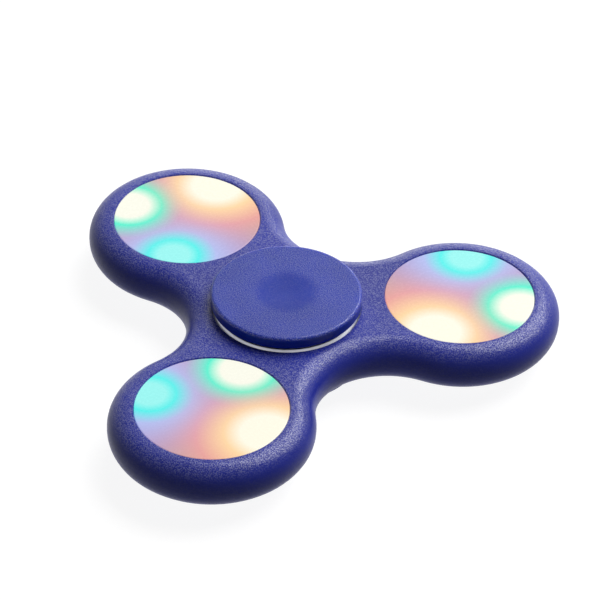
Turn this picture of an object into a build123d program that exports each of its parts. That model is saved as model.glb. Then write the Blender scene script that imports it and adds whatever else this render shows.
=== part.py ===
"""A three-lobed light-up finger spinner with a ball bearing at its hub and a light pod in each lobe.

Millimetres, +Z up. The origin is on the spin axis, on the surface that the lower cap stands on, and
+X runs through the first pod. The two caps and the bearing's inner race are what the fingers hold.
The moulded body, the outer race and the three pods turn round them, on seven balls in a cage.
"""

import os
from math import cos, pi, radians, sin

from build123d import *

# ---------------------------------------------------------------- driving dimensions

LOBES = 3

# bearing, a standard 22 x 8 x 7 deep-groove one
bearing_outer_diameter = 22.0
bearing_bore = 8.0
bearing_width = 7.0
ball_diameter = 3.969
ball_count = 7
groove_play = 0.08  # between a ball and its groove
inner_land_depth = 1.45  # pitch circle down to the inner race's shoulder
outer_land_depth = 2.1  # pitch circle out to the outer race's shoulder
race_chamfer = 0.4
shield_sheet = 0.3
shield_setback = 0.3  # race's end face to the shield
shield_groove_depth = 0.4
shield_play = 0.25  # shield to inner race and to its own groove's floor
cage_sheet = 0.35
cage_half_width = 0.8  # radial, either side of the pitch circle
cage_pocket_play = 0.1
rivet_radius = 0.3
rivet_head_radius = 0.55
rivet_head_height = 0.2

# body moulding
body_thickness = 7.0
body_wall = 3.85  # from each seat out to the body's outline
web = 3.7  # between the bearing's seat and a pod's seat
edge_radius = 3.35
seat_chamfer = 0.15
seat_clearance = 0.05  # any piece in the seat that holds it

# caps
cap_overhang = 0.2  # past the outer race, which a cap covers
cap_rim = 1.9
cap_gap = 0.6  # running gap between a cap and the body
cap_top_fillet = 0.45
cap_under_fillet = 0.3
dimple_inset = 5.6  # cap's rim in to its dish
dimple_depth = 0.17
shoulder_inset = 0.65  # inner race's land down to the cap's shoulder
stem_length = 3.2
stem_core_radius = 1.5
stem_chamfer = 0.3

# light pod, built round three button cells and a push switch
cell_count = 3
led_count = 3
cell_diameter = 6.8
cell_height = 2.1
cell_cap_height = 0.2
cell_cap_inset = 0.6
cell_fillet = 0.15
contact_sheet = 0.2
contact_pad_radius = 2.4
contact_strip_width = 1.4
leg_room = 0.3  # housing wall to a cell pocket, for the upright contact leg
well_radius = 2.6  # the space for the button's flange and the switch
rib = 0.5  # between the well and a cell pocket
housing_wall = 0.8
housing_floor = 0.9
ring_groove_radius = 7.2  # a moulded line round the button on the pod's back
ring_groove_width = 0.6
ring_groove_depth = 0.3
board_thickness = 0.8
board_play = 0.1
board_key_radius = 0.6
key_angle = 60.0
light_space = 1.8  # board to lens
lens_thickness = 1.0
lens_edge = 0.12
skirt_thickness = 0.6
led_length = 3.5
led_width = 2.8
led_height = 1.2
led_window_radius = 1.15
led_window_depth = 0.25
led_inset = 3.1  # centre of an LED to the housing's inner wall
led_step = 98.0  # degrees from one LED to the next
resistor_length = 1.6
resistor_width = 0.8
resistor_height = 0.45
resistor_pitch = 2.0
controller_radius = 1.8
controller_height = 0.8
controller_round = 0.7
switch_side = 3.0
switch_height = 1.2
plunger_radius = 0.75
plunger_reach = 0.4  # how far the plunger stands out of the switch
plunger_hidden = 0.35
button_travel = 0.25
button_radius = 2.0
button_play = 0.1
button_proud = 0.15
button_flange = 0.4  # thickness
button_flange_play = 0.15
button_fillet = 0.2
nib_radius = 0.8
# how each pod happens to be turned about its own axis
pod_turns = (-22.0, 155.0, 58.0)

# ---------------------------------------------------------------- derived places

bearing_radius = bearing_outer_diameter / 2
bore_radius = bearing_bore / 2
ball_radius = ball_diameter / 2
pitch_radius = (bearing_radius + bore_radius) / 2
groove_radius = ball_radius + groove_play
inner_land = pitch_radius - inner_land_depth
outer_land = pitch_radius + outer_land_depth

pocket_radius = cell_diameter / 2 + seat_clearance
cell_circle = well_radius + rib + pocket_radius
housing_bore = cell_circle + pocket_radius + leg_room
cell_step = 360 / cell_count
strip_path = CenterArc((0, 0), cell_circle, 0, cell_step)
leg_angle = -cell_step
leg_reach = cell_circle + pocket_radius + contact_sheet
led_circle = housing_bore - led_inset
pod_radius = housing_bore + housing_wall
deck = housing_floor + contact_sheet + cell_height  # the board lies on it
board_top = deck + board_thickness
housing_height = board_top + light_space
pod_height = housing_height + lens_thickness

bearing_seat = bearing_radius + seat_clearance
pod_seat = pod_radius + seat_clearance
lobe_radius = pod_seat + body_wall
hub_radius = bearing_seat + body_wall
arm = bearing_seat + web + pod_seat  # spin axis to a pod's axis
# A waist arc is tangent to both of its lobes and leaves body_wall round the bearing.
waist_radius = (arm**2 + hub_radius**2 - arm * hub_radius - lobe_radius**2) / (
    2 * lobe_radius - 2 * hub_radius + arm
)
waist_circle = hub_radius + waist_radius

body_base = cap_rim + cap_gap
middle = body_base + body_thickness / 2
pod_base = middle - pod_height / 2

MID = Plane.XY.offset(middle)
# Profiles for turned parts: x is the radius and y the height above the bearing's middle.
PROFILE = Plane(origin=(0, 0, middle), x_dir=(1, 0, 0), z_dir=(0, -1, 0))


def pod_plane(number):
    """The plane of a pod's back face, centred on its axis and turned as the pod is."""
    bearing = radians(360 / LOBES * number)
    turn = radians(pod_turns[number])
    return Plane(
        origin=(arm * cos(bearing), arm * sin(bearing), pod_base),
        x_dir=(cos(turn), sin(turn), 0),
        z_dir=(0, 0, 1),
    )


def circles(piece, radius):
    """The circular edges of a piece that have this radius."""
    return piece.edges().filter_by(
        lambda edge: edge.geom_type == GeomType.CIRCLE and abs(edge.radius - radius) < 1e-6
    )


def save(piece, name):
    """Labels a finished piece and writes it to its own STEP file."""
    piece.label = name
    export_step(piece, f"parts/{name}.step")


os.makedirs("parts", exist_ok=True)

# ---------------------------------------------------------------- body moulding

with BuildPart() as spinner_body:
    with BuildSketch(Plane.XY.offset(body_base)):
        with PolarLocations(arm, LOBES):
            Circle(lobe_radius)
        # The polygon through the lobe and waist centres crosses every tangent point.
        corners = []
        for step in range(2 * LOBES):
            reach = waist_circle if step % 2 else arm
            corner_angle = pi / LOBES * step
            corners.append((reach * cos(corner_angle), reach * sin(corner_angle)))
        Polygon(*corners, align=None)
        with PolarLocations(waist_circle, LOBES, start_angle=180 / LOBES):
            Circle(waist_radius, mode=Mode.SUBTRACT)
    extrude(amount=body_thickness)
    rims = spinner_body.edges().group_by(Axis.Z)
    roundest = min(edge_radius, body_thickness / 2 - seat_chamfer, body_wall - 2 * seat_chamfer)
    fillet(rims[0] + rims[-1], radius=roundest)
    with BuildSketch(Plane.XY.offset(body_base)):
        Circle(bearing_seat)
        with PolarLocations(arm, LOBES):
            Circle(pod_seat)
    extrude(amount=body_thickness, mode=Mode.SUBTRACT)
    chamfer(circles(spinner_body, bearing_seat) + circles(spinner_body, pod_seat), seat_chamfer)
save(spinner_body.part, "spinner_body")

# ---------------------------------------------------------------- bearing

shield_high = bearing_width / 2 - shield_setback
shield_low = shield_high - shield_sheet

with BuildPart() as outer_race:
    with BuildSketch(PROFILE):
        with Locations(((outer_land + bearing_radius) / 2, 0)):
            Rectangle(bearing_radius - outer_land, bearing_width)
        with Locations((pitch_radius, 0)):
            Circle(groove_radius, mode=Mode.SUBTRACT)
        shield_mid = (shield_high + shield_low) / 2
        with Locations((outer_land, shield_mid), (outer_land, -shield_mid)):
            Rectangle(2 * shield_groove_depth, shield_sheet + 2 * seat_clearance, mode=Mode.SUBTRACT)
    revolve(axis=Axis.Z)
    chamfer(circles(outer_race, bearing_radius), race_chamfer)
save(outer_race.part, "bearing_outer_race")

with BuildPart() as inner_race:
    with BuildSketch(PROFILE):
        with Locations(((bore_radius + inner_land) / 2, 0)):
            Rectangle(inner_land - bore_radius, bearing_width)
        with Locations((pitch_radius, 0)):
            Circle(groove_radius, mode=Mode.SUBTRACT)
    revolve(axis=Axis.Z)
    chamfer(circles(inner_race, bore_radius), race_chamfer)
save(inner_race.part, "bearing_inner_race")

for number in range(ball_count):
    with BuildPart() as ball:
        with Locations(MID):
            with PolarLocations(pitch_radius, 1, start_angle=360 / ball_count * number):
                Sphere(ball_radius)
    save(ball.part, f"bearing_ball_{number + 1}")

cage_pocket = ball_radius + cage_pocket_play
half_step = 180 / ball_count

with BuildPart() as cage_upper:
    with BuildSketch(MID):
        Circle(pitch_radius + cage_half_width)
        Circle(pitch_radius - cage_half_width, mode=Mode.SUBTRACT)
    extrude(amount=cage_sheet)
    with Locations(MID):
        with PolarLocations(pitch_radius, ball_count):
            Sphere(cage_pocket + cage_sheet)
    with BuildSketch(MID):
        Circle(pitch_radius + cage_half_width)
        Circle(pitch_radius - cage_half_width, mode=Mode.SUBTRACT)
    extrude(amount=ball_diameter, mode=Mode.INTERSECT)
    with Locations(MID):
        with PolarLocations(pitch_radius, ball_count):
            Sphere(cage_pocket, mode=Mode.SUBTRACT)
        with PolarLocations(pitch_radius, ball_count, start_angle=half_step):
            Cylinder(rivet_radius + seat_clearance, 4 * cage_sheet, mode=Mode.SUBTRACT)
save(cage_upper.part, "bearing_cage_upper")

with BuildPart() as cage_lower:
    mirror(cage_upper.part, about=MID)
save(cage_lower.part, "bearing_cage_lower")

with BuildPart() as cage_rivets:
    with Locations(MID):
        with PolarLocations(pitch_radius, ball_count, start_angle=half_step):
            Cylinder(rivet_radius, 2 * cage_sheet)
    head_height = cage_sheet + rivet_head_height / 2
    with Locations(MID.offset(head_height), MID.offset(-head_height)):
        with PolarLocations(pitch_radius, ball_count, start_angle=half_step):
            Cylinder(rivet_head_radius, rivet_head_height)
save(cage_rivets.part, "bearing_cage_rivets")

with BuildPart() as upper_shield:
    with BuildSketch(MID.offset(shield_low)):
        Circle(outer_land + shield_groove_depth - seat_clearance)
        Circle(inner_land + shield_play, mode=Mode.SUBTRACT)
    extrude(amount=shield_sheet)
save(upper_shield.part, "bearing_shield_upper")

with BuildPart() as lower_shield:
    mirror(upper_shield.part, about=MID)
save(lower_shield.part, "bearing_shield_lower")

# ---------------------------------------------------------------- caps

cap_radius = bearing_radius + cap_overhang
dimple_radius = cap_radius - dimple_inset
cap_under = body_thickness / 2 + cap_gap
cap_top = cap_under + cap_rim
stem_radius = bore_radius - seat_clearance
stem_end = bearing_width / 2 - stem_length
shoulder_radius = inner_land - shoulder_inset

with BuildPart() as top_cap:
    with BuildSketch(PROFILE):
        with BuildLine():
            # level at its rim and at its middle, so that it blends into the cap's face
            dish = Spline(
                (-dimple_radius, cap_top), (0, cap_top - dimple_depth), (dimple_radius, cap_top),
                tangents=((1, 0), (1, 0)),
            )
            Polyline(
                dish @ 1,
                (cap_radius, cap_top),
                (cap_radius, cap_under),
                (shoulder_radius, cap_under),
                (shoulder_radius, bearing_width / 2),
                (stem_radius, bearing_width / 2),
                (stem_radius, stem_end),
                (-stem_radius, stem_end),
                dish @ 0,
            )
        make_face()
        with Locations((-cap_radius, 0)):
            Rectangle(2 * cap_radius, 4 * cap_top, mode=Mode.SUBTRACT)
    revolve(axis=Axis.Z)
    with BuildSketch(MID.offset(stem_end)):
        Circle(stem_core_radius)
    extrude(amount=cap_under - stem_end, mode=Mode.SUBTRACT)
    under_rim, top_rim = circles(top_cap, cap_radius).sort_by(Axis.Z)
    stem_rim = circles(top_cap, stem_radius).sort_by(Axis.Z)[0]
    fillet(top_rim, cap_top_fillet)
    fillet(under_rim, cap_under_fillet)
    chamfer(stem_rim, stem_chamfer)
save(top_cap.part, "top_cap")

with BuildPart() as bottom_cap:
    mirror(top_cap.part, about=MID)
save(bottom_cap.part, "bottom_cap")


# ---------------------------------------------------------------- light pods

def pod_housing(back):
    """A round cup with a deck that holds the cells and a well for the switch and its button."""
    with BuildPart() as housing:
        with BuildSketch(back):
            Circle(pod_radius)
        extrude(amount=housing_height)
        with BuildSketch(back.offset(deck)):
            Circle(housing_bore)
        extrude(amount=housing_height - deck, mode=Mode.SUBTRACT)
        with BuildSketch(back.offset(deck)):
            with PolarLocations(housing_bore, 1, start_angle=key_angle):
                Circle(board_key_radius)
        extrude(amount=board_thickness)
        with BuildSketch(back.offset(housing_floor)):
            Circle(well_radius)
            with PolarLocations(cell_circle, cell_count):
                Circle(pocket_radius)
            with PolarLocations(housing_bore - leg_room, 1, start_angle=leg_angle):
                Rectangle(2 * leg_room, contact_strip_width + 2 * seat_clearance)
        extrude(amount=deck - housing_floor, mode=Mode.SUBTRACT)
        with BuildSketch(back.offset(housing_floor)):
            SlotArc(strip_path, contact_strip_width + 2 * seat_clearance)
        extrude(amount=contact_sheet + seat_clearance, mode=Mode.SUBTRACT)
        with BuildSketch(back):
            Circle(button_radius + button_play)
        extrude(amount=housing_floor, mode=Mode.SUBTRACT)
        with BuildSketch(back):
            Circle(ring_groove_radius + ring_groove_width / 2)
            Circle(ring_groove_radius - ring_groove_width / 2, mode=Mode.SUBTRACT)
        extrude(amount=ring_groove_depth, mode=Mode.SUBTRACT)
        chamfer(circles(housing, pod_radius).sort_by(Axis.Z)[0], lens_edge)
    return housing.part


def pod_contacts(back):
    """The strip that joins two cells in series, and the leg that carries the third to the board."""
    with BuildPart() as contacts:
        with BuildSketch(back.offset(housing_floor)):
            SlotArc(strip_path, contact_strip_width)
            with PolarLocations(cell_circle, cell_count):
                Circle(contact_pad_radius)
            with PolarLocations((cell_circle + leg_reach) / 2, 1, start_angle=leg_angle):
                Rectangle(leg_reach - cell_circle, contact_strip_width)
        extrude(amount=contact_sheet)
        with BuildSketch(back.offset(housing_floor)):
            with PolarLocations(leg_reach - contact_sheet / 2, 1, start_angle=leg_angle):
                Rectangle(contact_sheet, contact_strip_width)
        extrude(amount=deck - housing_floor)
    return contacts.part


def pod_cells(back):
    """Three button cells, each a can with a smaller cap that faces the board."""
    can = cell_diameter / 2
    with BuildPart() as cells:
        with BuildSketch(back.offset(housing_floor + contact_sheet)):
            with PolarLocations(cell_circle, cell_count):
                Circle(can)
        extrude(amount=cell_height - cell_cap_height)
        fillet(cells.edges().filter_by(GeomType.CIRCLE), cell_fillet)
        with BuildSketch(back.offset(deck - cell_cap_height)):
            with PolarLocations(cell_circle, cell_count):
                Circle(can - cell_cap_inset)
        extrude(amount=cell_cap_height)
    return cells.part


def pod_board(back):
    """The round circuit board, notched for the housing's key."""
    with BuildPart() as board:
        with BuildSketch(back.offset(deck)):
            Circle(housing_bore - board_play)
            with PolarLocations(housing_bore, 1, start_angle=key_angle):
                Circle(board_key_radius + board_play, mode=Mode.SUBTRACT)
        extrude(amount=board_thickness)
    return board.part


def pod_leds(back):
    """Three surface-mounted LEDs, each with a round window in its top."""
    row = PolarLocations(led_circle, led_count, -led_step, (led_count - 1) * led_step, endpoint=True)
    with BuildPart() as leds:
        with BuildSketch(back.offset(board_top)):
            with row:
                Rectangle(led_width, led_length)
        extrude(amount=led_height)
        with BuildSketch(back.offset(board_top + led_height)):
            with row:
                Circle(led_window_radius)
        extrude(amount=-led_window_depth, mode=Mode.SUBTRACT)
    return leds.part


def pod_resistors(back):
    """A chip resistor for each LED, in a row opposite the middle LED."""
    with BuildPart() as resistors:
        with BuildSketch(back.offset(board_top)):
            with Locations((-led_circle, 0)):
                with GridLocations(resistor_pitch, resistor_pitch, 1, led_count):
                    Rectangle(resistor_length, resistor_width)
        extrude(amount=resistor_height)
    return resistors.part


def pod_controller(back):
    """The blob of epoxy over the flashing chip."""
    with BuildPart() as controller:
        with BuildSketch(back.offset(board_top)):
            Circle(controller_radius)
        extrude(amount=controller_height)
        upper_rim = controller.edges().group_by(Axis.Z)[-1]
        fillet(upper_rim, controller_round)
    return controller.part


def pod_switch_body(back):
    """The push switch, under the board, with a hole for its plunger."""
    with BuildPart() as switch:
        with BuildSketch(back.offset(deck - switch_height)):
            Rectangle(switch_side, switch_side)
        extrude(amount=switch_height)
        with BuildSketch(back.offset(deck - switch_height)):
            Circle(plunger_radius + button_play)
        extrude(amount=plunger_hidden + button_travel + button_play, mode=Mode.SUBTRACT)
    return switch.part


def pod_switch_plunger(back):
    """The switch's plunger, which the button's nib pushes up."""
    with BuildPart() as plunger:
        with BuildSketch(back.offset(deck - switch_height - plunger_reach)):
            Circle(plunger_radius)
        extrude(amount=plunger_reach + plunger_hidden)
    return plunger.part


def pod_button(back):
    """The push button in the pod's back, kept in by a flange."""
    nib_top = deck - switch_height - plunger_reach
    with BuildPart() as button:
        with BuildSketch(back.offset(-button_proud)):
            Circle(button_radius)
        extrude(amount=housing_floor + button_proud)
        fillet(button.edges().group_by(Axis.Z)[0], button_fillet)
        with BuildSketch(back.offset(housing_floor)):
            Circle(well_radius - button_flange_play)
        extrude(amount=button_flange)
        with BuildSketch(back.offset(housing_floor + button_flange)):
            Circle(nib_radius)
        extrude(amount=nib_top - housing_floor - button_flange)
    return button.part


def pod_lens(back):
    """The diffusing lens, a flat disc whose skirt holds the board down."""
    skirt_outer = housing_bore - board_play
    with BuildPart() as lens:
        with BuildSketch(back.offset(housing_height)):
            Circle(pod_radius)
        extrude(amount=lens_thickness)
        fillet(lens.edges().group_by(Axis.Z)[-1], lens_edge)
        with BuildSketch(back.offset(board_top)):
            Circle(skirt_outer)
            Circle(skirt_outer - skirt_thickness, mode=Mode.SUBTRACT)
        extrude(amount=light_space)
    return lens.part


POD_PIECES = {
    "housing": pod_housing,
    "contacts": pod_contacts,
    "cells": pod_cells,
    "circuit_board": pod_board,
    "leds": pod_leds,
    "resistors": pod_resistors,
    "controller": pod_controller,
    "switch_body": pod_switch_body,
    "switch_plunger": pod_switch_plunger,
    "button": pod_button,
    "lens": pod_lens,
}

for number in range(LOBES):
    for piece_name, make_piece in POD_PIECES.items():
        save(make_piece(pod_plane(number)), f"pod_{number + 1}_{piece_name}")

print(
    f"arm {arm:.2f}, lobe radius {lobe_radius:.2f}, waist radius {waist_radius:.2f}, "
    f"pod {2 * pod_radius:.2f} x {pod_height:.2f}"
)
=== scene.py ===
"""The looks of a light-up finger spinner: its plastics, its steels, its light and its studio."""

import math

import bmesh
import bpy
from mathutils import Matrix, Vector


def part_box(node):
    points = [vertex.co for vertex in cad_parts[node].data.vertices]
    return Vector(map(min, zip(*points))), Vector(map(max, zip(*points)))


bl_info = {
    "name": "Light-up Finger Spinner",
    "version": (1, 0, 0),
    "blender": (4, 5, 0),
    "location": "3D Viewport > Sidebar > Spinner",
    "description": "Dresses a three-lobed finger spinner with its plastics, steels and glowing pods",
    "category": "Object",
}

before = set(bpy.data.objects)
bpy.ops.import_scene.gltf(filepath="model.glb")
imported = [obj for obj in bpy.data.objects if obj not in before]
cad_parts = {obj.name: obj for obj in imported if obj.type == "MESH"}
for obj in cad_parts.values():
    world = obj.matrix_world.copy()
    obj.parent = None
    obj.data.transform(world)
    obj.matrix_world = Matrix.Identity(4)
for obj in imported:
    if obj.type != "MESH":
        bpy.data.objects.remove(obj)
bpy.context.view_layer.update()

MM = 0.001
PODS = (1, 2, 3)


def display(red, green, blue):
    """A colour as it looks on a screen, 0 to 255, turned into the linear one that shaders take."""
    linear = []
    for level in (red, green, blue):
        share = level / 255
        linear.append(share / 12.92 if share <= 0.04045 else ((share + 0.055) / 1.055) ** 2.4)
    return tuple(linear)


def opaque(colour):
    """A colour with full alpha, as colour sockets and ramps want it."""
    return (*colour[:3], 1.0)


# ---------------------------------------------------------------- where the pods are


class Pod:
    """A light pod's place, read from the model: its axis, its radius and how it is turned."""

    def __init__(self, number):
        low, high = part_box(f"pod_{number}_lens")
        chips_low, chips_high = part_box(f"pod_{number}_resistors")
        across = (low + high) / 2 - (chips_low + chips_high) / 2
        self.number = number
        self.centre = (low + high) / 2
        self.radius = (high.x - low.x) / 2
        self.top = high.z
        # The chips sit opposite the middle light, which marks the pod's own x direction.
        self.turn = math.atan2(across.y, across.x)

    def node(self, piece):
        """The name of one of the pod's pieces."""
        return f"pod_{self.number}_{piece}"


pods = [Pod(number) for number in PODS]
body_low, body_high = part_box("spinner_body")
MIDDLE = (body_low.z + body_high.z) / 2 / MM  # height of the body's middle plane, in millimetres

# ---------------------------------------------------------------- shader arithmetic


class Field:
    """An output of a finish's nodes. Arithmetic on a number that varies adds Math nodes."""

    def __init__(self, finish, socket):
        self.finish = finish
        self.socket = socket

    def maths(self, operation, *values):
        return self.finish.node("ShaderNodeMath", {"operation": operation}, dict(enumerate(values)))

    def __add__(self, other):
        return self.maths("ADD", self, other)

    def __sub__(self, other):
        return self.maths("SUBTRACT", self, other)

    def __rsub__(self, other):
        return self.maths("SUBTRACT", other, self)

    def __mul__(self, other):
        return self.maths("MULTIPLY", self, other)

    def __truediv__(self, other):
        return self.maths("DIVIDE", self, other)

    def __rtruediv__(self, other):
        return self.maths("DIVIDE", other, self)

    def __pow__(self, other):
        return self.maths("POWER", self, other)

    def __abs__(self):
        return self.maths("ABSOLUTE", self)

    __radd__ = __add__
    __rmul__ = __mul__

    def most(self, other):
        return self.maths("MAXIMUM", self, other)


class Finish:
    """A material whose shader is fed by nodes."""

    def __init__(self, name, constants):
        self.material = bpy.data.materials.new(name)
        self.material.use_nodes = True
        self.tree = self.material.node_tree
        self.shader = self.tree.nodes["Principled BSDF"]
        self.feed(self.shader, constants)
        point = self.node("ShaderNodeTexCoord", {}, {}, "Object")
        scaling = {0: point, "Scale": 1 / MM}
        self.place = self.node("ShaderNodeVectorMath", {"operation": "SCALE"}, scaling)

    def node(self, kind, settings, inputs, output=0):
        """Adds a node: its settings are set first, then its sockets are fed."""
        made = self.tree.nodes.new(kind)
        for name, value in settings.items():
            if name == "stops":
                self.set_stops(made.color_ramp, value)
            else:
                setattr(made, name, value)
        self.feed(made, inputs)
        return Field(self, made.outputs[output])

    def feed(self, node, inputs):
        """Gives a node's sockets their values or links."""
        for name, value in inputs.items():
            if isinstance(value, Field):
                self.tree.links.new(value.socket, node.inputs[name])
            else:
                node.inputs[name].default_value = value

    def set_stops(self, ramp, stops):
        """Sets a ramp's stops, each a position and a colour."""
        while len(ramp.elements) < len(stops):
            ramp.elements.new(1.0)
        for element, (position, colour) in zip(ramp.elements, stops):
            element.position = position
            element.color = opaque(colour)

    def axes(self):
        """The three coordinates of the place, in millimetres."""
        split = self.node("ShaderNodeSeparateXYZ", {}, {0: self.place})
        return [Field(self, split.socket.node.outputs[index]) for index in range(3)]

    def noise(self, size, detail=2.0, place=None):
        """Soft noise from 0 to 1 with features about this many millimetres across."""
        inputs = {"Vector": place or self.place, "Scale": 1 / size, "Detail": detail}
        return self.node("ShaderNodeTexNoise", {}, inputs)

    def step(self, value, low, high):
        """Rises smoothly from 0 at low to 1 at high."""
        settings = {"interpolation_type": "SMOOTHSTEP"}
        return self.node("ShaderNodeMapRange", settings, {0: value, 1: low, 2: high, 3: 0.0, 4: 1.0})

    def mix(self, share, first, second):
        """A colour between two others."""
        inputs = {0: share, 6: first, 7: second}
        return self.node("ShaderNodeMix", {"data_type": "RGBA"}, inputs, 2)

    def ramp(self, value, stops):
        """A colour read off a ramp."""
        return self.node("ShaderNodeValToRGB", {"stops": stops}, {0: value})

    def join(self, x, y, z):
        """A vector from three numbers."""
        return self.node("ShaderNodeCombineXYZ", {}, {0: x, 1: y, 2: z})

    def bump(self, height, depth):
        """A normal that follows a height from 0 to 1, this many millimetres deep."""
        return self.node("ShaderNodeBump", {}, {"Height": height, "Distance": depth * MM})

    def wear(self, node):
        """Puts the finish on a node of the model or on a new piece."""
        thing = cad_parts[node] if isinstance(node, str) else node
        if not thing.material_slots:
            thing.data.materials.append(self.material)
        for slot in thing.material_slots:
            slot.material = self.material


class Backdrop(Finish):
    """A world whose background is fed by nodes."""

    def __init__(self, world):
        self.tree = world.node_tree
        self.shader = self.tree.nodes["Background"]


# ---------------------------------------------------------------- settings


class MouldingSettings(bpy.types.PropertyGroup):
    """The blue plastic of the body and the caps."""

    body_colour: bpy.props.FloatVectorProperty(
        name="Body colour", description="Blue of the three-lobed body",
        subtype="COLOR", size=3, min=0, max=1, default=display(20, 34, 140))
    cap_colour: bpy.props.FloatVectorProperty(
        name="Cap colour", description="Blue of the two finger caps",
        subtype="COLOR", size=3, min=0, max=1, default=display(10, 44, 156))
    grain_size: bpy.props.FloatProperty(
        name="Grain size", description="Width of one bump of the spark-eroded texture, in millimetres",
        default=0.16, min=0.05, max=2)
    grain_depth: bpy.props.FloatProperty(
        name="Grain depth", description="Height of the texture's bumps, in millimetres",
        default=0.035, min=0, max=0.2)
    roughness: bpy.props.FloatProperty(
        name="Roughness", description="Roughness of the grained faces",
        subtype="FACTOR", default=0.36, min=0, max=1)
    # Painted highlight: how strongly the glint on the grain's tops is painted into the base colour.
    painted_glint: bpy.props.FloatProperty(
        name="Sparkle", description="How pale the rubbed tops of the grain are",
        subtype="FACTOR", default=0.44, min=0, max=1)
    dish_radius: bpy.props.FloatProperty(
        name="Dish radius", description="Radius of a cap's smoother dish, in millimetres",
        default=4.6, min=0, max=11)


class GlowSettings(bpy.types.PropertyGroup):
    """The light of the pods."""

    strength: bpy.props.FloatProperty(
        name="Strength", description="Brightness of the light that leaves a lens",
        default=0.8, min=0, max=5)
    # Painted glow: this share of the lights' colour pattern is painted into the lens's base colour, so it
    # shows under any lamp.
    glow_in_base_share: bpy.props.FloatProperty(
        name="Lens colour share", description="How much of the light's colour the lens has by itself",
        subtype="FACTOR", default=0.2, min=0, max=1)


class BearingSettings(bpy.types.PropertyGroup):
    """The steel of the bearing."""

    steel_colour: bpy.props.FloatVectorProperty(
        name="Steel colour", description="Colour of the ground races",
        subtype="COLOR", size=3, min=0, max=1, default=display(184, 185, 194))
    ring_pitch: bpy.props.FloatProperty(
        name="Ring pitch", description="Spacing of the turned rings on the races, in millimetres",
        default=0.09, min=0.01, max=1)


class StudioSettings(bpy.types.PropertyGroup):
    """The camera, the lamps and the floor."""

    azimuth: bpy.props.FloatProperty(
        name="Azimuth", description="Direction that the camera looks from, round the spin axis",
        subtype="ANGLE", default=math.radians(-6.68))
    elevation: bpy.props.FloatProperty(
        name="Elevation", description="Height of the camera above the horizon",
        subtype="ANGLE", default=math.radians(38.49))
    roll: bpy.props.FloatProperty(
        name="Roll", description="Turn of the camera about its own line of sight",
        subtype="ANGLE", default=math.radians(1.11))
    field: bpy.props.FloatProperty(
        name="Field of view", description="Width of the view",
        subtype="ANGLE", default=math.radians(10.18))
    distance: bpy.props.FloatProperty(
        name="Distance", description="Camera to the point that it looks at",
        unit="LENGTH", default=0.4992, min=0.1, max=5)
    aim: bpy.props.FloatVectorProperty(
        name="Aim", description="Point in the plane of the lenses that the camera looks at",
        subtype="TRANSLATION", size=2, default=(2.14 * MM, 1.01 * MM))
    lift: bpy.props.FloatProperty(
        name="Floor lift", description="White that the floor adds to its own shade in the view",
        subtype="FACTOR", default=0.9, min=0, max=1)


class SpinnerSettings(bpy.types.PropertyGroup):
    """Everything that can be set on the spinner."""

    moulding: bpy.props.PointerProperty(type=MouldingSettings)
    glow: bpy.props.PointerProperty(type=GlowSettings)
    bearing: bpy.props.PointerProperty(type=BearingSettings)
    studio: bpy.props.PointerProperty(type=StudioSettings)


# ---------------------------------------------------------------- blue mouldings

# Heights above and below the middle plane between which the grain comes in, in millimetres.
BODY_GRAIN_FROM = (1.8, 3.4)
CAP_GRAIN_FROM = (5.5, 5.8)


def grained_plastic(name, colour, settings, constants, grained_from, smooth_inside=None):
    """Blue plastic from a spark-eroded mould.

    The grain is on the faces that look up and down: it comes in between the two heights of
    grained_from, above and below the middle plane. The mould was polished inside smooth_inside.
    """
    finish = Finish(name, constants)
    x, y, z = finish.axes()
    fine = finish.noise(settings.grain_size, 0.0)
    coarse = finish.noise(settings.grain_size * 3.5, 1.0)
    patches = finish.noise(12.0, 2.0)
    keep = finish.step(abs(z - MIDDLE), grained_from[0], grained_from[1]) * 0.9 + 0.1
    if smooth_inside is not None:
        middle = (x * x + y * y) ** 0.5 + (patches - 0.5) * 2.0
        keep = keep * (finish.step(middle, smooth_inside * 0.75, smooth_inside * 1.2) * 0.8 + 0.2)
    relief = (fine * 0.6 + coarse * 0.4 - 0.5) * keep + 0.5
    deep = opaque([0.86 * level for level in colour])
    pale = opaque([min(1.0, 1.1 * level + 0.004) for level in colour])
    # Painted highlight: the tops of the grain are painted pale in the base colour for their glint, and carry
    # a glossy coat; its pits stay deep blue.
    coat_and_painted_glint = finish.step(fine, 0.4, 0.72) * keep
    # Painted highlight: a paler blue that stands in for the glint on the grain's tops.
    painted_glint = opaque([level + 0.15 for level in colour])
    plain = finish.mix(finish.step(patches, 0.3, 0.7), deep, pale)
    finish.feed(finish.shader, {
        "Base Color": finish.mix(coat_and_painted_glint * settings.painted_glint, plain, painted_glint),
        "Roughness": settings.roughness + 0.12 * (coarse - 0.5),
        "Coat Weight": coat_and_painted_glint,
        "Normal": finish.bump(relief, settings.grain_depth),
    })
    return finish


class SPINNER_OT_mould_body(bpy.types.Operator):
    """Gives the three-lobed body its grained blue plastic"""

    bl_idname = "spinner.mould_body"
    bl_label = "Body moulding"

    def execute(self, context):
        settings = context.scene.spinner.moulding
        constants = {"IOR": 1.49, "Specular IOR Level": 0.2, "Coat Roughness": 0.25}
        finish = grained_plastic("body_blue", settings.body_colour, settings, constants, BODY_GRAIN_FROM)
        finish.wear("spinner_body")
        return {"FINISHED"}


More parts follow.
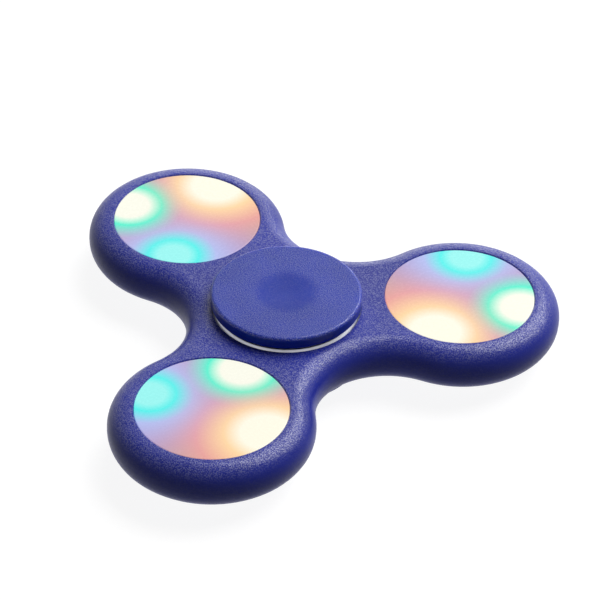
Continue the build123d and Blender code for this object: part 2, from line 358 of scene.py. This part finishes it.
class SPINNER_OT_mould_caps(bpy.types.Operator):
    """Gives the two finger caps their blue plastic, polished where the finger sits"""

    bl_idname = "spinner.mould_caps"
    bl_label = "Finger caps"

    def execute(self, context):
        settings = context.scene.spinner.moulding
        constants = {
            "IOR": 1.49, "Specular IOR Level": 0.17, "Coat Roughness": 0.25, "Subsurface Weight": 0.8,
            "Subsurface Radius": (0.25, 0.35, 1.0), "Subsurface Scale": 2.2 * MM}
        finish = grained_plastic(
            "cap_blue", settings.cap_colour, settings, constants, CAP_GRAIN_FROM, settings.dish_radius)
        for node in ("top_cap", "bottom_cap"):
            finish.wear(node)
        return {"FINISHED"}


# ---------------------------------------------------------------- bearing


def turned_steel(name, colour, pitch, roughness):
    """Steel with fine rings about the spin axis."""
    finish = Finish(name, {"Metallic": 1.0})
    x, y, z = finish.axes()
    radius = (x * x + y * y) ** 0.5
    rings = finish.noise(pitch, 1.0, finish.join(radius, z, 0.0))
    smears = finish.noise(2.5, 3.0)
    worn = opaque([0.8 * level for level in colour])
    finish.feed(finish.shader, {
        "Base Color": finish.mix(finish.step(smears, 0.3, 0.8), opaque(colour), worn),
        "Roughness": roughness + 0.14 * (rings - 0.5) + 0.12 * (smears - 0.5),
        "Normal": finish.bump(rings, 0.004),
    })
    return finish


class SPINNER_OT_bearing(bpy.types.Operator):
    """Gives the races, shields, cage and balls of the bearing their steels"""

    bl_idname = "spinner.bearing"
    bl_label = "Bearing"

    def execute(self, context):
        settings = context.scene.spinner.bearing
        steel = settings.steel_colour
        races = turned_steel("race_steel", steel, settings.ring_pitch, 0.38)
        shields = turned_steel("shield_steel", [0.85 * level for level in steel], 0.3, 0.36)
        cage = turned_steel("cage_steel", [0.95 * level for level in steel], 0.5, 0.4)
        balls = turned_steel("ball_steel", [min(1.0, 1.3 * level) for level in steel], 2.0, 0.12)
        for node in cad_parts:
            if node.startswith("bearing_ball"):
                balls.wear(node)
            elif node.startswith("bearing_cage"):
                cage.wear(node)
            elif node.startswith("bearing_shield"):
                shields.wear(node)
            elif node.startswith("bearing_"):
                races.wear(node)
        return {"FINISHED"}


# ---------------------------------------------------------------- light pods

LIGHT_STEP = 98.0  # degrees from one light to the next, as the LEDs stand on their board
LIGHT_CIRCLE = 0.85  # lens radii from the middle of a lens to each light
LIGHT_SPAN = 3.0  # sizes of a light that its colours cover
LIGHT_FALL = 3.5  # how sharply one light gives way to the next
LIGHT_CORE = 0.05  # keeps a light's pull finite at its middle
HEART_EDGE, RING, EDGE = 0.2, 0.33, 0.55  # places of the colours, as shares of the span


class Light:
    """One light under a lens: its LED, its size in lens radii and its colours outwards."""

    def __init__(self, led, size, hold, heart, ring, edge, haze):
        self.angle = math.radians(led * LIGHT_STEP)
        self.size = size
        self.hold = hold
        self.colours = ((0.0, heart), (HEART_EDGE, heart), (RING, ring), (EDGE, edge), (1.0, haze))


LIGHTS = (
    Light(led=1, size=0.35, hold=2.0,
          heart=display(150, 245, 240), ring=display(70, 240, 235),
          edge=display(175, 190, 245), haze=display(180, 150, 230)),
    Light(led=0, size=0.45, hold=1.0,
          heart=display(250, 250, 235), ring=display(60, 245, 205),
          edge=display(190, 165, 200), haze=display(215, 160, 195)),
    Light(led=-1, size=0.55, hold=1.0,
          heart=display(255, 250, 230), ring=display(255, 215, 160),
          edge=display(235, 160, 140), haze=display(160, 165, 100)),
)


def pod_axes(finish, pod):
    """The place in the pod's own frame, x and y, in millimetres."""
    x, y = finish.axes()[:2]
    cosine = math.cos(pod.turn)
    sine = math.sin(pod.turn)
    east = x - pod.centre.x / MM
    north = y - pod.centre.y / MM
    return east * cosine + north * sine, north * cosine - east * sine


def glow_colour(finish, pod):
    """The colour of the light at each place of the pod's lens."""
    x, y = pod_axes(finish, pod)
    unit = pod.radius / MM
    colour = None
    total = None
    for light in LIGHTS:
        east = x / unit - LIGHT_CIRCLE * math.cos(light.angle)
        north = y / unit - LIGHT_CIRCLE * math.sin(light.angle)
        reach = (east * east + north * north) ** 0.5 / light.size
        weight = light.hold / (reach ** LIGHT_FALL + LIGHT_CORE)
        own = finish.ramp(reach / LIGHT_SPAN, light.colours)
        total = weight if total is None else total + weight
        colour = own if colour is None else finish.mix(weight / total, colour, own)
    return colour


class SPINNER_OT_pod_lenses(bpy.types.Operator):
    """Lights the three pods: their lenses glow in the colours of the lights below"""

    bl_idname = "spinner.pod_lenses"
    bl_label = "Glowing lenses"

    def execute(self, context):
        settings = context.scene.spinner.glow
        for pod in pods:
            finish = Finish(f"lens_glow_{pod.number}", {
                "Coat Weight": 0.15, "Coat Roughness": 0.2, "Emission Strength": settings.strength,
                "Specular IOR Level": 0.25})
            colour = glow_colour(finish, pod)
            unlit = opaque((0.0, 0.0, 0.0))
            haze = finish.noise(0.5, 2.0)
            finish.feed(finish.shader, {
                # Painted glow: the base colour holds a share of the glow's pattern, and is black apart from
                # that.
                "Base Color": finish.mix(1.0 - settings.glow_in_base_share, colour, unlit),
                "Emission Color": colour,
                "Roughness": 0.22 + 0.1 * haze,
            })
            finish.wear(pod.node("lens"))
        return {"FINISHED"}


def satin_plastic(name, colour, roughness, grain=0.4):
    """Plain moulded plastic with a light grain and a little unevenness in its colour."""
    finish = Finish(name, {"IOR": 1.5})
    fine = finish.noise(grain, 2.0)
    patches = finish.noise(6.0, 2.0)
    finish.feed(finish.shader, {
        "Base Color": finish.mix(
            0.5 * fine + 0.5 * patches,
            opaque([0.86 * level for level in colour]), opaque([min(1.0, 1.08 * level) for level in colour])),
        "Roughness": roughness + 0.16 * (fine - 0.5),
        "Normal": finish.bump(fine, 0.008),
    })
    return finish


class SPINNER_OT_pod_cases(bpy.types.Operator):
    """Gives the pods' housings and push buttons their plastic"""

    bl_idname = "spinner.pod_cases"
    bl_label = "Pod cases and buttons"

    def execute(self, context):
        case = satin_plastic("pod_plastic", display(205, 207, 216), 0.38)
        button = satin_plastic("button_plastic", display(228, 229, 234), 0.3)
        for pod in pods:
            case.wear(pod.node("housing"))
            button.wear(pod.node("button"))
        return {"FINISHED"}


class SPINNER_OT_pod_electronics(bpy.types.Operator):
    """Gives the cells, contacts, board and its components their materials"""

    bl_idname = "spinner.pod_electronics"
    bl_label = "Pod electronics"

    def execute(self, context):
        plain = {
            "switch_body": satin_plastic("switch_plastic", display(38, 38, 40), 0.4),
            "switch_plunger": satin_plastic("plunger_plastic", display(214, 204, 180), 0.4),
            "controller": satin_plastic("controller_epoxy", display(24, 24, 26), 0.16, 1.2),
            "resistors": satin_plastic("resistor_ceramic", display(30, 30, 34), 0.35),
            "leds": satin_plastic("led_white", display(236, 234, 222), 0.35),
            "circuit_board": satin_plastic("board_green", display(22, 110, 60), 0.3),
            "cells": turned_steel("cell_steel", display(205, 205, 208), 0.2, 0.25),
            "contacts": turned_steel("contact_brass", display(214, 190, 130), 0.3, 0.3),
        }
        for pod in pods:
            for piece, finish in plain.items():
                finish.wear(pod.node(piece))
        return {"FINISHED"}


# ---------------------------------------------------------------- studio

LAMP_DISTANCE = 0.7  # metres from the hub to each lamp
FLOOR_GREY = 0.2
FLOOR_HALF_WIDTH = 3.0  # metres
FLOOR_DROP = 0.02 * MM  # keeps the floor from sharing a plane with the cap that stands on it
FILL = 0.06  # light of the world where it isn't in view
WHITE = (1.0, 1.0, 1.0, 1.0)


def soft_lamp(name, azimuth, elevation, brightness, size):
    """A square soft lamp that looks at the hub from this direction, in degrees."""
    lamp = bpy.data.lights.new(name, "AREA")
    lamp.shape = "SQUARE"
    lamp.size = size
    lamp.energy = brightness * math.pi * size * size
    around = math.radians(azimuth)
    above = math.radians(elevation)
    away = Vector((math.sin(around) * math.cos(above), -math.cos(around) * math.cos(above), math.sin(above)))
    thing = bpy.data.objects.new(name, lamp)
    thing.location = away * LAMP_DISTANCE
    thing.rotation_euler = away.to_track_quat("Z", "Y").to_euler()
    thing.visible_camera = False
    bpy.context.scene.collection.objects.link(thing)
    return thing


def in_view(finish):
    """1 for what the camera sees itself, through something clear or in a reflection."""
    camera = finish.node("ShaderNodeLightPath", {}, {}, "Is Camera Ray")
    glossy = finish.node("ShaderNodeLightPath", {}, {}, "Is Glossy Ray")
    through = finish.node("ShaderNodeLightPath", {}, {}, "Is Transmission Ray")
    return camera.most(through).most(glossy)


def pale_floor(lift):
    """A plain floor that shows white round the spinner and keeps its shadow."""
    mesh = bpy.data.meshes.new("floor")
    shape = bmesh.new()
    bmesh.ops.create_grid(shape, x_segments=8, y_segments=8, size=FLOOR_HALF_WIDTH)
    shape.to_mesh(mesh)
    shape.free()
    floor = bpy.data.objects.new("floor", mesh)
    bpy.context.scene.collection.objects.link(floor)
    floor.location.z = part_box("bottom_cap")[0].z - FLOOR_DROP
    finish = Finish("floor_white", {
        "Base Color": opaque((FLOOR_GREY, FLOOR_GREY, FLOOR_GREY)), "Roughness": 0.9,
        "Specular IOR Level": 0.0, "Emission Strength": 1.0, "Emission Color": opaque((lift, lift, lift))})
    # The floor shows from above, to the eye and in reflections: lamps shine through it.
    above = 1 - finish.node("ShaderNodeNewGeometry", {}, {}, "Backfacing")
    clear = finish.node("ShaderNodeBsdfTransparent", {}, {})
    plain = Field(finish, finish.shader.outputs["BSDF"])
    seen = in_view(finish) * above
    either = finish.node("ShaderNodeMixShader", {}, {0: seen, 1: clear, 2: plain})
    finish.feed(finish.tree.nodes["Material Output"], {"Surface": either})
    finish.wear(floor)


def backdrop_world():
    """White where it is seen or reflected, and a dim fill as light."""
    world = bpy.data.worlds.new("studio")
    world.use_nodes = True
    backdrop = Backdrop(world)
    fill = opaque((FILL, FILL, FILL))
    backdrop.feed(backdrop.shader, {"Color": backdrop.mix(in_view(backdrop), fill, WHITE)})
    bpy.context.scene.world = world


def place_camera(settings):
    """The camera, looking down at the spinner from the front."""
    around = settings.azimuth
    above = settings.elevation
    right = Vector((math.cos(around), math.sin(around), 0))
    back = Vector((math.cos(above) * math.sin(around), -math.cos(above) * math.cos(around), math.sin(above)))
    up = back.cross(right)
    turn = Matrix((right, up, back)).transposed() @ Matrix.Rotation(settings.roll, 3, "Z")
    lens = bpy.data.cameras.new("camera")
    lens.sensor_width = 36
    lens.angle = settings.field
    lens.clip_start = 0.01
    camera = bpy.data.objects.new("camera", lens)
    aim = Vector((settings.aim[0], settings.aim[1], pods[0].top))
    camera.matrix_world = Matrix.Translation(aim + back * settings.distance) @ turn.to_4x4()
    bpy.context.scene.collection.objects.link(camera)
    bpy.context.scene.camera = camera


class SPINNER_OT_studio(bpy.types.Operator):
    """Sets the pale floor, the soft lamps and the camera"""

    bl_idname = "spinner.studio"
    bl_label = "Studio"

    def execute(self, context):
        settings = context.scene.spinner.studio
        context.scene.view_settings.view_transform = "Standard"
        pale_floor(settings.lift)
        backdrop_world()
        soft_lamp("lamp_key", azimuth=124, elevation=53, brightness=5.4, size=0.62)
        soft_lamp("lamp_back", azimuth=168, elevation=16, brightness=1.5, size=0.36)
        soft_lamp("lamp_front", azimuth=0, elevation=55, brightness=0.2, size=0.4)
        # It only shades the underside: its gleam would draw a line along the lower rims.
        below = soft_lamp("lamp_below", azimuth=0, elevation=-90, brightness=28, size=0.1)
        below.visible_glossy = False
        place_camera(settings)
        return {"FINISHED"}


# ---------------------------------------------------------------- panel and registration

STEPS = (
    SPINNER_OT_mould_body,
    SPINNER_OT_mould_caps,
    SPINNER_OT_bearing,
    SPINNER_OT_pod_lenses,
    SPINNER_OT_pod_cases,
    SPINNER_OT_pod_electronics,
    SPINNER_OT_studio,
)


class SPINNER_PT_panel(bpy.types.Panel):
    """Lists the spinner's settings and the steps that dress it"""

    bl_idname = "SPINNER_PT_panel"
    bl_label = "Finger Spinner"
    bl_space_type = "VIEW_3D"
    bl_region_type = "UI"
    bl_category = "Spinner"

    def draw(self, context):
        settings = context.scene.spinner
        for group in (settings.moulding, settings.glow, settings.bearing, settings.studio):
            box = self.layout.box()
            for name in group.bl_rna.properties.keys():
                if name not in ("rna_type", "name"):
                    box.prop(group, name)
        for step in STEPS:
            self.layout.operator(step.bl_idname)


CLASSES = (
    MouldingSettings,
    GlowSettings,
    BearingSettings,
    StudioSettings,
    SpinnerSettings,
    *STEPS,
    SPINNER_PT_panel,
)


def register():
    for kind in CLASSES:
        bpy.utils.register_class(kind)
    bpy.types.Scene.spinner = bpy.props.PointerProperty(type=SpinnerSettings)


def unregister():
    del bpy.types.Scene.spinner
    for kind in reversed(CLASSES):
        bpy.utils.unregister_class(kind)


def main():
    """Dresses the spinner."""
    register()
    bpy.ops.spinner.mould_body()
    bpy.ops.spinner.mould_caps()
    bpy.ops.spinner.bearing()
    bpy.ops.spinner.pod_lenses()
    bpy.ops.spinner.pod_cases()
    bpy.ops.spinner.pod_electronics()
    bpy.ops.spinner.studio()


if __name__ == "__main__":
    main()
